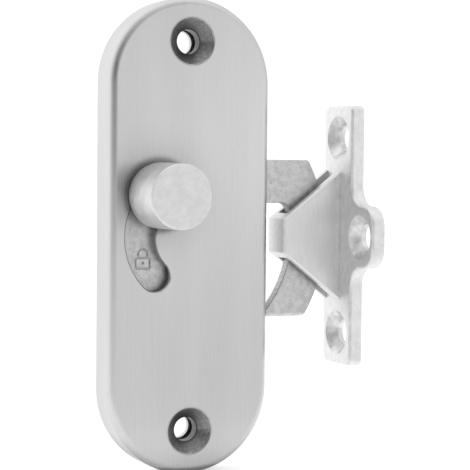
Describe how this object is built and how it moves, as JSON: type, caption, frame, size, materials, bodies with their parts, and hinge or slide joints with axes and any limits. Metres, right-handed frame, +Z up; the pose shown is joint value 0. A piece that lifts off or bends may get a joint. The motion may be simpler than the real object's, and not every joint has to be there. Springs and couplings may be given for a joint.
{
  "type": "rotary hook latch with strike",
  "caption": "Surface-mounted rotary hook latch for a sliding door: a knob in an arc slot swings a flat hook through the loop of a separate cast strike.",
  "frame": {"origin": "on the hook's pivot axis, in the plane where the case meets the door", "axes": "+X towards the strike, +Y into the door (the knob faces -Y), +Z up"},
  "size_m": [0.07, 0.029, 0.125],
  "materials": {
    "case_steel": "vertical brushed grain, satin",
    "plated_sheet": "zinc plated sheet, dull",
    "plated_fastener": "zinc plated, turned",
    "bearing_plastic": "natural acetal, matt",
    "spring_steel": "hardened spring steel, oiled",
    "hook_steel": "tumbled and zinc plated, speckled, sheared edges",
    "knob_steel": "turned, fine cross scratches on the face",
    "strike_metal": "cast, bead blasted and satin plated"
  },
  "bodies": {
    "case": {"case_cover": "case_steel", "back_plate": "plated_sheet", "cover_posts": "plated_fastener", "back_plate_screws": "plated_fastener", "pivot_pin": "plated_fastener", "front_washer": "bearing_plastic", "disc_spring": "spring_steel", "spring_posts": "plated_fastener", "detent_spring": "spring_steel"},
    "hook_body": {"hook": "hook_steel", "pivot_bush": "bearing_plastic", "knob_spacer": "plated_fastener", "knob": "knob_steel", "knob_screw": "plated_fastener"},
    "strike_body": {"strike": "strike_metal"}
  },
  "joints": [
    {"name": "hook_turn", "type": "hinge", "parent": "case", "child": "hook_body", "pos_m": [0, 0, 0], "axis": [0, -1, 0], "range_deg": [0, 90], "deforming": ["detent_spring"]},
    {"name": "door_play", "type": "slide", "parent": "case", "child": "strike_body", "axis": [1, 0, 0], "range_m": [-0.002, 0.0004]}
  ]
}
